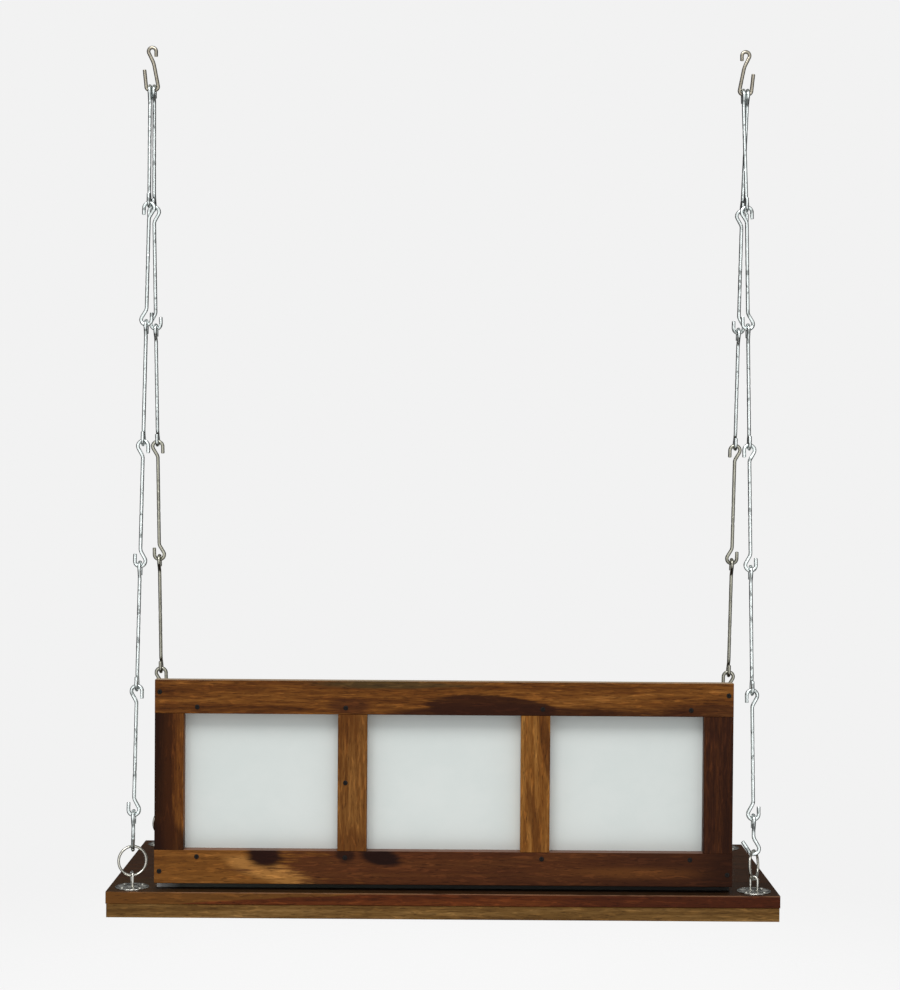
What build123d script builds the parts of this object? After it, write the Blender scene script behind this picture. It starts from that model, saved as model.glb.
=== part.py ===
from build123d import *
import os
from math import acos, atan2, ceil, cos, degrees, radians, sin, sqrt

# A jhoola: a hardwood bench hung on four chains of hooked rods from two S-hooks.
# Millimetres. X is the width, +Y the way a sitter faces, +Z up.
# The origin is at the centre of the seat's underside.

# ---------------------------------------------------------------- seat
SEAT_WIDTH = 1219.0
SEAT_DEPTH = 508.0
PLANK_THICKNESS = 22.0
PLANK_COUNT = 4
RIM_THICKNESS = 25.0
RIM_WIDTH = 64.0
RIM_INSET = 1.2
BATTEN_WIDTH = 50.0
BATTEN_SPACING = 355.0
EDGE_CHAMFER = 1.0

# ---------------------------------------------------------------- backrest
BACK_CHAIN_ROOM = 43.0
BACK_HEIGHT = 370.0
BACK_SETBACK = 19.0
FRAME_THICKNESS = 24.0
FRAME_LIFT = 12.0
RAIL_HEIGHT = 61.0
STILE_WIDTH = 53.0
BOARD_THICKNESS = 18.0
BOARD_SIDE_INSET = 2.0
BOARD_TOP_INSET = 14.0
PAD_THICKNESS = 30.0
PAD_INSET = 6.0
PAD_LIFT = 8.0
PAD_CORNER = 14.0
SOFT_GAP = 0.3

# ---------------------------------------------------------------- screws
HEAD_RADIUS = 4.3
HEAD_HEIGHT = 1.2
SHANK_RADIUS = 2.0
SHANK_CLEARANCE = 0.1
FRAME_SCREW_BITE = 12.0
CORNER_SCREW_SIDE = 9.0
CORNER_SCREW_END = 22.0
OPENING_SCREW_SIDE = 24.0
OPENING_SCREW_EDGE = 12.0
STILE_SCREW_SIDE = 14.0
BOARD_SCREW_RADIUS = 3.0
BOARD_SCREW_HEAD = 5.5
BOARD_SCREW_BITE = 36.0
BOARD_SCREW_SPACING = 235.0
BOARD_SCREW_COUNT = 5
FASTENER_SIDES = 8

# ---------------------------------------------------------------- chain hardware
WIRE = 7.0
RING_WIRE = 4.8
EYE_WIRE = 4.6
WIRE_SIDES = 6
BEND_STEP = 30.0
CONTACT_GAP = 0.4
ROD_LENGTH = 243.0
ROD_COUNT = 6
SHORT_HOOK_LENGTH = 77.0
TOP_HOOK_LENGTH = 88.0
BEND_RADIUS = 9.8
BEND_TIP = 13.5
SHORT_TIP = 22.0
SHORT_SPLAY = 34.0
TOP_BEND_RADIUS = 7.3
TOP_BEND_TIP = 10.0
TOP_NECK = (2.8, 10.8)
SADDLE_RADIUS = 6.5
SADDLE_TIP = 33.0
SADDLE_SPLAY = 6.0
SADDLE_ROOM = 0.4
NECK_ANGLE = 30.0
PAIR_GAP = 1.1
RING_DIAMETER = 57.0
RING_RUNS = 18
EYE_HEIGHT = 29.5
EYE_RADIUS = 7.0
EYE_GAP = 0.8
EYE_FOOT = 1.5
PLATE_DIAMETER = 62.0
PLATE_SIDES = 24
PLATE_THICKNESS = 2.5
PLATE_DISH = 1.2
PLATE_INSET = 42.0
PLATE_SCREW_CIRCLE = 46.0
PLATE_SCREW_COUNT = 4
PLATE_SCREW_BITE = 16.0
# How far each fitting is turned about its chain, by the end and side of the seat it hangs at.
RING_TURN = {("rear", "left"): 25.0, ("rear", "right"): 65.0,
             ("front", "left"): 48.0, ("front", "right"): 50.0}
EYE_TURN = {("rear", "left"): 18.0, ("rear", "right"): 60.0,
            ("front", "left"): 43.0, ("front", "right"): 45.0}
SHORT_TWIST = {("rear", "left"): 8.0, ("rear", "right"): -90.0,
               ("front", "left"): 28.0, ("front", "right"): -108.0}

# ---------------------------------------------------------------- worked out from the sizes above
SEAT_TOP = RIM_THICKNESS + PLANK_THICKNESS
PLANK_WIDTH = SEAT_DEPTH / PLANK_COUNT
RIM_DEPTH = SEAT_DEPTH - 2 * RIM_INSET
RIM_LENGTH = SEAT_WIDTH - 2 * RIM_INSET
PLATE_X = SEAT_WIDTH / 2 - PLATE_INSET
PLATE_Y = SEAT_DEPTH / 2 - PLATE_INSET
BACK_WIDTH = 2 * (PLATE_X - BACK_CHAIN_ROOM)
FRAME_REAR = -SEAT_DEPTH / 2 + BACK_SETBACK
FRAME_FRONT = FRAME_REAR + FRAME_THICKNESS
BOARD_FRONT = FRAME_FRONT + BOARD_THICKNESS
FRAME_BOTTOM = SEAT_TOP + FRAME_LIFT
FRAME_TOP = FRAME_BOTTOM + BACK_HEIGHT
BOARD_TOP = FRAME_TOP - BOARD_TOP_INSET
BOARD_WIDTH = BACK_WIDTH - 2 * BOARD_SIDE_INSET
OPENING_WIDTH = (BACK_WIDTH - 4 * STILE_WIDTH) / 3
OPENING_BOTTOM = FRAME_BOTTOM + RAIL_HEIGHT
OPENING_TOP = FRAME_TOP - RAIL_HEIGHT
EYE_Z = SEAT_TOP + EYE_HEIGHT - EYE_WIRE / 2
PAIR_OFFSET = (WIRE + PAIR_GAP) / 2
SIDES = {"left": -1, "right": 1}
ENDS = {"rear": -1, "front": 1}
Z_AXIS = Vector(0, 0, 1)
X_AXIS = Vector(1, 0, 0)


def save(name, *solids):
    """Write one node, as one solid or as a group of separate ones."""
    shape = solids[0] if len(solids) == 1 else Compound(children=list(solids))
    export_step(shape, f"parts/{name}.step")


def bar(width, depth, height, x=0.0, y=0.0, z=0.0, chamfered=Axis.X):
    """A planed bar standing at (x, y, z), eased along the edges that run with one axis."""
    block = Pos(x, y, z) * Box(width, depth, height, align=(Align.CENTER, Align.CENTER, Align.MIN))
    return chamfer(block.edges().filter_by(chamfered), EDGE_CHAMFER)


def peg(radius, length):
    """An upright many-sided pin with its foot at the origin, a little inside the round one."""
    return extrude(RegularPolygon(radius, FASTENER_SIDES), length)


def screw(head, shank, length, sunk=0.0):
    """A screw along +Z: the underside of its head lies at the origin, its shank goes up."""
    return Pos(0, 0, -HEAD_HEIGHT + sunk) * peg(head, HEAD_HEIGHT) + Pos(0, 0, sunk) * peg(shank, length)


def drilled(board, places, radius, length):
    """The board with a clearance hole for each screw place."""
    holes = [place * Pos(0, 0, -HEAD_HEIGHT) * peg(radius + SHANK_CLEARANCE, length + HEAD_HEIGHT)
             for place in places]
    return board - holes


# ---------------------------------------------------------------- fastener places
def frame_screw_places():
    """Screws driven from behind through the backrest frame into its board."""
    corner_x = BACK_WIDTH / 2 - CORNER_SCREW_SIDE
    column_x = BACK_WIDTH / 2 - STILE_WIDTH - OPENING_SCREW_SIDE
    stile_x = OPENING_WIDTH / 2 + STILE_WIDTH - STILE_SCREW_SIDE
    points = [(side * corner_x, z) for side in (-1, 1)
              for z in (FRAME_BOTTOM + CORNER_SCREW_END, FRAME_TOP - CORNER_SCREW_END)]
    points += [(side * x, z) for side in (-1, 1) for x in (column_x, stile_x)
               for z in (OPENING_BOTTOM - OPENING_SCREW_EDGE, OPENING_TOP + OPENING_SCREW_EDGE)]
    points.append((-stile_x, (OPENING_BOTTOM + OPENING_TOP) / 2))
    return [Pos(x, FRAME_REAR, z) * Rot(-90, 0, 0) for x, z in points]


def board_screw_places():
    """Long screws driven up from the seat's underside into the foot of the backrest board."""
    y = FRAME_FRONT + BOARD_THICKNESS / 2
    first = -(BOARD_SCREW_COUNT - 1) / 2
    return [Pos((first + i) * BOARD_SCREW_SPACING, y, HEAD_HEIGHT) for i in range(BOARD_SCREW_COUNT)]


def plate_screw_places(x, y):
    """Screws down through one eye plate, on a circle."""
    turn = 360 / PLATE_SCREW_COUNT
    return [Pos(x, y, SEAT_TOP + PLATE_THICKNESS) * Rot(0, 0, turn * (i + 0.5))
            * Pos(PLATE_SCREW_CIRCLE / 2, 0, 0) * Rot(180, 0, 0) for i in range(PLATE_SCREW_COUNT)]


FRAME_SCREW_LENGTH = FRAME_THICKNESS + FRAME_SCREW_BITE
BOARD_SCREW_LENGTH = SEAT_TOP - HEAD_HEIGHT + BOARD_SCREW_BITE
PLATE_SCREW_LENGTH = PLATE_THICKNESS + PLATE_SCREW_BITE
CORNERS = [(side, end, SIDES[side] * PLATE_X, ENDS[end] * PLATE_Y) for side in SIDES for end in ENDS]


# ---------------------------------------------------------------- seat
def seat():
    """Glued planks on an edging frame, with cross battens between its long sides."""
    plate_places = [place for _, _, x, y in CORNERS for place in plate_screw_places(x, y)]
    for i in range(PLANK_COUNT):
        y = (i + 0.5) * PLANK_WIDTH - SEAT_DEPTH / 2
        plank = bar(SEAT_WIDTH, PLANK_WIDTH, PLANK_THICKNESS, y=y, z=RIM_THICKNESS)
        if i == 0:
            plank = drilled(plank, board_screw_places(), BOARD_SCREW_RADIUS, BOARD_SCREW_LENGTH)
        if i in (0, PLANK_COUNT - 1):
            plank = drilled(plank, plate_places, SHANK_RADIUS, PLATE_SCREW_LENGTH)
        save(f"seat_plank_{i + 1}", plank)

    rim_y = RIM_DEPTH / 2 - RIM_WIDTH / 2
    rear = bar(RIM_LENGTH, RIM_WIDTH, RIM_THICKNESS, y=-rim_y)
    rear = drilled(rear, board_screw_places(), BOARD_SCREW_RADIUS, BOARD_SCREW_LENGTH)
    rear -= [place * Pos(0, 0, -HEAD_HEIGHT) * peg(BOARD_SCREW_HEAD + SHANK_CLEARANCE, HEAD_HEIGHT)
             for place in board_screw_places()]
    save("seat_rim_rear", rear)
    save("seat_rim_front", bar(RIM_LENGTH, RIM_WIDTH, RIM_THICKNESS, y=rim_y))
    between = RIM_DEPTH - 2 * RIM_WIDTH
    for side, sign in SIDES.items():
        x = sign * (RIM_LENGTH - RIM_WIDTH) / 2
        save(f"seat_rim_{side}", bar(RIM_WIDTH, between, RIM_THICKNESS, x=x, chamfered=Axis.Y))
    save("seat_battens", *[bar(BATTEN_WIDTH, between, RIM_THICKNESS, x=i * BATTEN_SPACING, chamfered=Axis.Y)
                           for i in (-1, 0, 1)])


# ---------------------------------------------------------------- backrest
def backrest():
    """A frame of two rails and four stiles, screwed to a cloth-covered board with a pad on its front."""
    places = frame_screw_places()
    frame_y = (FRAME_REAR + FRAME_FRONT) / 2
    for name, z in (("bottom", FRAME_BOTTOM), ("top", OPENING_TOP)):
        rail = bar(BACK_WIDTH, FRAME_THICKNESS, RAIL_HEIGHT, y=frame_y, z=z)
        save(f"back_rail_{name}", drilled(rail, places, SHANK_RADIUS, FRAME_SCREW_LENGTH))
    stile_pitch = OPENING_WIDTH + STILE_WIDTH
    for i, name in enumerate(("left", "inner_left", "inner_right", "right")):
        stile = bar(STILE_WIDTH, FRAME_THICKNESS, OPENING_TOP - OPENING_BOTTOM,
                    x=(i - 1.5) * stile_pitch, y=frame_y, z=OPENING_BOTTOM, chamfered=Axis.Z)
        save(f"back_stile_{name}", drilled(stile, places, SHANK_RADIUS, FRAME_SCREW_LENGTH))

    board = bar(BOARD_WIDTH, BOARD_THICKNESS, BOARD_TOP - SEAT_TOP,
                y=(FRAME_FRONT + BOARD_FRONT) / 2, z=SEAT_TOP)
    board = drilled(board, places, SHANK_RADIUS, FRAME_SCREW_LENGTH)
    save("back_board", drilled(board, board_screw_places(), BOARD_SCREW_RADIUS, BOARD_SCREW_LENGTH))

    pad_bottom = SEAT_TOP + PAD_LIFT
    pad = Pos(0, BOARD_FRONT + SOFT_GAP, pad_bottom) * Box(
        BOARD_WIDTH - 2 * PAD_INSET, PAD_THICKNESS, BOARD_TOP - PAD_INSET - pad_bottom,
        align=(Align.CENTER, Align.MIN, Align.MIN))
    save("back_pad", fillet(pad.faces().sort_by(Axis.Y)[-1].edges(), PAD_CORNER))

    save("back_screws", *[p * screw(HEAD_RADIUS, SHANK_RADIUS, FRAME_SCREW_LENGTH) for p in places])
    save("board_screws", *[p * screw(BOARD_SCREW_HEAD, BOARD_SCREW_RADIUS, BOARD_SCREW_LENGTH)
                           for p in board_screw_places()])


# ---------------------------------------------------------------- hooked links
def arc(centre, radius, start, turn):
    """Points along an arc, from start degrees round by turn degrees, in short straight runs."""
    steps = ceil(abs(turn) / BEND_STEP)
    angles = [radians(start + turn * i / steps) for i in range(steps + 1)]
    return [(centre.X + radius * cos(a), centre.Y + radius * sin(a)) for a in angles]


def swept(points, diameter):
    """Many-sided wire with mitred corners along points in the XY plane."""
    path = Polyline(*points)
    section = Plane(origin=path @ 0, z_dir=path % 0) * RegularPolygon(diameter / 2, WIRE_SIDES)
    return sweep(section, path=path, transition=Transition.RIGHT)


def hook_path(reach, tip, splay=0.0):
    """Centre line from mid-shank at the origin, through the neck and round the bend at Y = reach.

    The free end is tip long and opens outwards by splay degrees.
    """
    r, neck, opening = BEND_RADIUS, radians(NECK_ANGLE), radians(splay)
    centre = Vector(0, reach - r)
    bend = arc(centre, r, 180 + NECK_ANGLE, -90 - NECK_ANGLE)[:-1] + arc(centre, r, 90, splay - 90)
    corner_y = bend[0][1] + bend[0][0] / sin(neck) * cos(neck)
    tip_end = (bend[-1][0] + tip * sin(opening), bend[-1][1] - tip * cos(opening))
    return [(0, 0), (0, corner_y), *bend, tip_end]


def link(length, tip, low_tip, low_splay=0.0, twist=0.0):
    """A rod or short hook in the XY plane, its lower bend facing the other way or twisted from there."""
    reach = (length - WIRE) / 2
    lower = Rot(0, twist, 0) * Rot(0, 0, 180) * swept(hook_path(reach, low_tip, low_splay), WIRE)
    return swept(hook_path(reach, tip), WIRE) + lower


def touch(centre, radius, point):
    """The angle at which a line from a point touches a circle, on the clockwise side seen from its centre."""
    away = point - centre
    return degrees(atan2(away.Y, away.X) - acos(radius / away.length))


def top_hook():
    """An S whose shank crosses over from the side of a flat-bottomed lower bend to the upper bend."""
    reach = (TOP_HOOK_LENGTH - WIRE) / 2
    half = PAIR_OFFSET + WIRE + SADDLE_ROOM - SADDLE_RADIUS
    opening = radians(SADDLE_SPLAY)
    neck = Vector(*TOP_NECK)
    upper = Vector(0, reach - TOP_BEND_RADIUS)
    low_right, low_left = Vector(half, SADDLE_RADIUS - reach), Vector(-half, SADDLE_RADIUS - reach)
    upper_angle = touch(upper, TOP_BEND_RADIUS, neck)
    low_angle = touch(low_right, SADDLE_RADIUS, neck)
    bends = [*arc(upper, TOP_BEND_RADIUS, 0, upper_angle % 360), TOP_NECK,
             *arc(low_right, SADDLE_RADIUS, low_angle, -90 - low_angle),
             *arc(low_left, SADDLE_RADIUS, -90, SADDLE_SPLAY - 90)]
    tip_start = (TOP_BEND_RADIUS, upper.Y - TOP_BEND_TIP)
    tip_end = (bends[-1][0] - SADDLE_TIP * sin(opening), bends[-1][1] + SADDLE_TIP * cos(opening))
    return swept([tip_start, *bends, tip_end], WIRE)


def ring():
    """A closed ring round the Z axis, made of two halves that meet in the middle of a run."""
    radius, step = (RING_DIAMETER - RING_WIRE) / 2, 360 / RING_RUNS
    corners = [(radius * cos(radians(step * (i + 0.5))), radius * sin(radians(step * (i + 0.5))))
               for i in range(RING_RUNS // 2)]
    ends = radius * cos(radians(step / 2))
    half = swept([(ends, 0), *corners, (-ends, 0)], RING_WIRE)
    return half + Rot(0, 0, 180) * half


def stand(point, along, across):
    """The plane at a point whose Y runs along a chain and whose X runs across it."""
    return Plane(origin=point, x_dir=across, z_dir=across.cross(along))


# ---------------------------------------------------------------- chains
# Heights of wire centres along a chain, counted from the eye's wire.
HOOKED = WIRE + CONTACT_GAP
RING_LOW = -(EYE_WIRE / 2 + EYE_GAP + RING_WIRE / 2)
RING_MIDDLE = RING_LOW + (RING_DIAMETER - RING_WIRE) / 2
RING_HIGH = RING_LOW + RING_DIAMETER - RING_WIRE
SHORT_LOW = RING_HIGH - (RING_WIRE / 2 + CONTACT_GAP + WIRE / 2)
SHORT_HIGH = SHORT_LOW + SHORT_HOOK_LENGTH - WIRE
ROD_RISE = ROD_LENGTH - WIRE - HOOKED
CHAIN_LENGTH = SHORT_HIGH - HOOKED + ROD_COUNT * ROD_RISE
SADDLE_Z = EYE_Z + sqrt(CHAIN_LENGTH ** 2 - PLATE_Y ** 2)


def chain(side, end, rod, short_hook, link_ring):
    """One hanging chain: rods, a short S-hook and a ring, taut from the saddle to the eye."""
    sign, y_sign = SIDES[side], ENDS[end]
    eye = Vector(sign * PLATE_X, y_sign * PLATE_Y, EYE_Z)
    saddle = Vector(sign * PLATE_X, 0, SADDLE_Z)
    along = (saddle - eye).normalized()
    inward = Vector(-sign, 0, 0)
    fore_aft = along.cross(X_AXIS)

    # The pair of first rods hang side by side in the saddle and meet the chain's line at their feet.
    joint = saddle - along * (ROD_RISE + HOOKED)
    head = saddle + X_AXIS * (y_sign * PAIR_OFFSET)
    lean = (head - joint).normalized()
    across = lean.cross(X_AXIS)
    middle = joint + lean * (HOOKED + (ROD_LENGTH - WIRE) / 2)
    save(f"rod_{end}_{side}_1", stand(middle, lean, across) * rod)

    for number in range(2, ROD_COUNT + 1):
        low = SHORT_HIGH - HOOKED + (ROD_COUNT - number) * ROD_RISE
        middle = eye + along * (low + (ROD_LENGTH - WIRE) / 2)
        # Rods lie in turn sideways and fore-and-aft; the second one is hung the other way round.
        across = fore_aft if number % 2 else inward * (-1 if number == 2 else 1)
        save(f"rod_{end}_{side}_{number}", stand(middle, along, across) * rod)

    middle = eye + along * ((SHORT_LOW + SHORT_HIGH) / 2)
    save(f"short_hook_{end}_{side}", stand(middle, along, fore_aft) * short_hook)
    across = X_AXIS.rotate(Axis((0, 0, 0), along), RING_TURN[end, side])
    save(f"ring_{end}_{side}", stand(eye + along * RING_MIDDLE, along, across) * link_ring)


def eye_plate(x, y, turn):
    """A dished round plate with an upright wire eye, lying on the seat."""
    plate = chamfer(extrude(RegularPolygon(PLATE_DIAMETER / 2, PLATE_SIDES), PLATE_THICKNESS)
                    .faces().sort_by(Axis.Z)[-1].edges(), PLATE_DISH)
    top = EYE_HEIGHT - EYE_WIRE / 2
    shoulder = top - EYE_RADIUS
    bend = arc(Vector(0, shoulder), EYE_RADIUS, 0, 180)
    loop = swept([(EYE_RADIUS, EYE_FOOT), *bend, (-EYE_RADIUS, EYE_FOOT)], EYE_WIRE)
    placed = Pos(x, y, SEAT_TOP) * Rot(0, 0, 90 + turn) * (plate + Rot(90, 0, 0) * loop)
    return drilled(placed, plate_screw_places(x, y), SHANK_RADIUS, PLATE_SCREW_LENGTH)


def fittings():
    """Eye plates, their screws, the four chains and the two top S-hooks."""
    rod = link(ROD_LENGTH, BEND_TIP, BEND_TIP)
    link_ring = ring()
    plate_screw = screw(HEAD_RADIUS, SHANK_RADIUS, PLATE_SCREW_LENGTH)
    for side, end, x, y in CORNERS:
        save(f"eye_plate_{end}_{side}", eye_plate(x, y, EYE_TURN[end, side]))
        short_hook = link(SHORT_HOOK_LENGTH, BEND_TIP, SHORT_TIP, SHORT_SPLAY, SHORT_TWIST[end, side])
        chain(side, end, rod, short_hook, link_ring)
    save("plate_screws", *[place * plate_screw for _, _, x, y in CORNERS for place in plate_screw_places(x, y)])

    s_hook = top_hook()
    for side, sign in SIDES.items():
        middle = Vector(sign * PLATE_X, 0, SADDLE_Z + (TOP_HOOK_LENGTH - WIRE) / 2)
        save(f"top_hook_{side}", stand(middle, Z_AXIS, Vector(-sign, 0, 0)) * s_hook)


os.makedirs("parts", exist_ok=True)
seat()
backrest()
fittings()
joint_z = SADDLE_Z - (SADDLE_Z - EYE_Z) * ROD_RISE / CHAIN_LENGTH
print(f"seat top {SEAT_TOP:.3f}, eye wire {EYE_Z:.3f}, first rod joint {joint_z:.3f}, saddle {SADDLE_Z:.3f}")
print(f"upper bends {SADDLE_Z + TOP_HOOK_LENGTH - WIRE:.3f}, plates at {PLATE_X:.3f} by {PLATE_Y:.3f}")
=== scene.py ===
"""A jhoola: a dark hardwood bench with a framed, padded back, hung on chains of hooked steel rods."""

import math

import bpy
import numpy as np
from mathutils import Matrix, Vector


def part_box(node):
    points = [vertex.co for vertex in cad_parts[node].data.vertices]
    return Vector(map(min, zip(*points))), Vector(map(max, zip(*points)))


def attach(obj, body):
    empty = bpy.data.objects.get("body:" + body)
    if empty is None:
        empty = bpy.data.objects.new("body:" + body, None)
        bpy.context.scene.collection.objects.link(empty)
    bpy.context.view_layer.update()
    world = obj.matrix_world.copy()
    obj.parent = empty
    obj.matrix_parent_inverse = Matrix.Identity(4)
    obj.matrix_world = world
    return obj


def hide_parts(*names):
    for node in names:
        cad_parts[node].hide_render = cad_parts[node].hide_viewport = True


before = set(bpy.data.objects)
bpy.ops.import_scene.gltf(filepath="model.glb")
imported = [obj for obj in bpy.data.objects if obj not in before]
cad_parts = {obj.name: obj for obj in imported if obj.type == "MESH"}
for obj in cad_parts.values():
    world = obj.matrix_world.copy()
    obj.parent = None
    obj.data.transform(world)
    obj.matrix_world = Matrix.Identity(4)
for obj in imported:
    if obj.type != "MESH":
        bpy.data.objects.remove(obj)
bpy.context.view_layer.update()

# ---------------------------------------------------------------- sizes, in metres, as in the part's source
SEAT_TOP = 0.047
SEAT_DEPTH = 0.508
PLATE_X, PLATE_Y = 0.5675, 0.212
WIRE, RING_WIRE, EYE_WIRE = 0.007, 0.0048, 0.0046
ROD_LENGTH, SHORT_LENGTH, TOP_LENGTH = 0.243, 0.077, 0.088
BEND_RADIUS, BEND_TIP = 0.0098, 0.0135
SHORT_TIP, SHORT_SPLAY = 0.022, 34.0
TOP_BEND_RADIUS, TOP_BEND_TIP = 0.0073, 0.010
TOP_NECK = (0.0028, 0.0108)
SADDLE_RADIUS, SADDLE_TIP, SADDLE_SPLAY, SADDLE_ROOM = 0.0065, 0.033, 6.0, 0.0004
NECK_ANGLE, NECK_RADIUS = 30.0, 0.015
CONTACT_GAP, EYE_GAP, PAIR_GAP = 0.0004, 0.0008, 0.0011
RING_DIAMETER = 0.057
EYE_HEIGHT, EYE_RADIUS = 0.0295, 0.007
PLATE_RADIUS, PLATE_THICKNESS = 0.031, 0.0025
PLATE_SCREW_CIRCLE, PLATE_SCREWS = 0.046, 4
HEAD_RADIUS = 0.0043
ROD_COUNT = 6
SIDES = {"left": -1, "right": 1}
ENDS = {"rear": -1, "front": 1}
CHAINS = (("rear", "left"), ("rear", "right"), ("front", "left"), ("front", "right"))
RING_TURN = dict(zip(CHAINS, (25.0, 65.0, 48.0, 50.0)))
EYE_TURN = dict(zip(CHAINS, (18.0, 60.0, 43.0, 45.0)))
SHORT_TWIST = dict(zip(CHAINS, (8.0, -90.0, 28.0, -108.0)))

EYE_Z = SEAT_TOP + EYE_HEIGHT - EYE_WIRE / 2
PAIR_OFFSET = (WIRE + PAIR_GAP) / 2
HOOKED = WIRE + CONTACT_GAP
RING_LOW = -(EYE_WIRE / 2 + EYE_GAP + RING_WIRE / 2)
RING_MIDDLE = RING_LOW + (RING_DIAMETER - RING_WIRE) / 2
RING_HIGH = RING_LOW + RING_DIAMETER - RING_WIRE
SHORT_LOW = RING_HIGH - (RING_WIRE / 2 + CONTACT_GAP + WIRE / 2)
SHORT_HIGH = SHORT_LOW + SHORT_LENGTH - WIRE
ROD_RISE = ROD_LENGTH - WIRE - HOOKED
CHAIN_LENGTH = SHORT_HIGH - HOOKED + ROD_COUNT * ROD_RISE
SADDLE_Z = EYE_Z + math.sqrt(CHAIN_LENGTH ** 2 - PLATE_Y ** 2)

FRAME_REAR, FRAME_BOTTOM, FRAME_TOP = -0.235, 0.059, 0.429
BACK_WIDTH, STILE_WIDTH, RAIL_HEIGHT = 1.049, 0.053, 0.061
# How far the black screws stand from the frame's corners in X and Z, the stiles' edges and the rails' edges.
CORNER_INSET, OUTER_INSET, INNER_INSET, RAIL_INSET = (0.009, 0.022), 0.024, 0.014, 0.012

# ---------------------------------------------------------------- sizes that only the looks need
WIRE_SIDES, HEAD_SIDES, RING_SECTIONS, PLATE_SECTIONS = 20, 32, 96, 96
SHEARED_LENGTH, SHEARED_SHARE = 0.0012, 0.22
ROD_DENTS, DENT_SPACING, DENT_LENGTH = 5, 0.019, 0.0022
WELD_TURN, WELD_WIDTH, WELD_SHARE = 2.2, 0.06, 0.1
PETALS, PETAL_REACH, PETAL_WIDTH, PETAL_RISE = 8, 0.68, 0.16, 0.42
HEAD_DOME, HEAD_BED, RECESS_DEPTH, RECESS_WIDTH = 0.0012, -0.0003, 0.0009, 0.0005
FOOT_DROP = 0.0035


# ---------------------------------------------------------------- meshes
def add(name, data):
    """A new object in the scene."""
    made = bpy.data.objects.new(name, data)
    bpy.context.scene.collection.objects.link(made)
    return made


def shade_smooth(mesh):
    """Shades all of a mesh's faces smooth."""
    mesh.polygons.foreach_set("use_smooth", np.full(len(mesh.polygons), True))


def place(name, points, faces, body, finish, nodes=()):
    """A mesh of the given points and faces, riding on a body in place of CAD nodes."""
    mesh = bpy.data.meshes.new(name)
    mesh.from_pydata(np.asarray(points, float), [], [list(map(int, f)) for f in faces])
    mesh.validate()
    shade_smooth(mesh)
    mesh.materials.append(finish)
    piece = add(name, mesh)
    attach(piece, body)
    if nodes:
        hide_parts(*nodes)
    return piece


def skin(rows, columns, closed=False):
    """Faces of a rows by columns grid whose columns wrap round, capped by a pole at each end.

    The poles are the two points after the grid. A closed grid also wraps its rows and has no poles.
    """
    row, column = np.meshgrid(np.arange(rows if closed else rows - 1), np.arange(columns), indexing="ij")
    after, beside = (row + 1) % rows, (column + 1) % columns
    quads = np.stack([row * columns + column, row * columns + beside,
                      after * columns + beside, after * columns + column], -1).reshape(-1, 4)
    if closed:
        return quads.tolist()
    ring, first, last = np.arange(columns), rows * columns, rows * columns + 1
    start = np.stack([(ring + 1) % columns, ring, np.full(columns, first)], -1)
    end = np.stack([ring, (ring + 1) % columns, np.full(columns, last)], -1)
    end[:, :2] += (rows - 1) * columns
    return quads.tolist() + start.tolist() + end.tolist()


def tube(centre, side, radius):
    """Points and faces of a wire: circles round a centre line, each square to the line's direction.

    A point is centre + radius * (cos(t) * normal + sin(t) * side), with normal = side x direction.
    """
    direction = np.gradient(centre, axis=0)
    direction /= np.linalg.norm(direction, axis=1, keepdims=True)
    normal = np.cross(side, direction)
    turn = np.linspace(0, 2 * np.pi, WIRE_SIDES, endpoint=False)
    radius = np.broadcast_to(np.asarray(radius).reshape(len(centre), -1), (len(centre), WIRE_SIDES))
    spread = np.cos(turn)[None, :, None] * normal[:, None] + np.sin(turn)[None, :, None] * side[:, None]
    grid = centre[:, None] + radius[..., None] * spread
    points = np.concatenate([grid.reshape(-1, 3), centre[:1], centre[-1:]])
    return points, skin(len(centre), WIRE_SIDES)


def line(start, end, step=0.002):
    """Points of a straight run, its last one left out."""
    start, end = np.array(start, float), np.array(end, float)
    count = max(2, math.ceil(np.linalg.norm(end - start) / step))
    return start + (end - start) * np.linspace(0, 1, count, endpoint=False)[:, None]


def arc(centre, radius, start, turn, step=0.0009):
    """Points of a circular run from start degrees round by turn degrees, its last one left out."""
    count = max(3, math.ceil(abs(math.radians(turn)) * radius / step))
    angle = np.radians(start + turn * np.linspace(0, 1, count, endpoint=False))
    return np.array(centre) + radius * np.stack([np.cos(angle), np.sin(angle)], -1)


def cut_end(start, end):
    """Points of a free end up to its sheared face, close together at the last of it."""
    start, end = np.array(start, float), np.array(end, float)
    length = np.linalg.norm(end - start)
    behind = np.concatenate([np.arange(length, 0.002, -0.002), [0.0014, 0.001, 0.0006, 0.0003, 0.0001, 0.0]])
    return end + (start - end) * (behind / length)[:, None]


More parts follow.
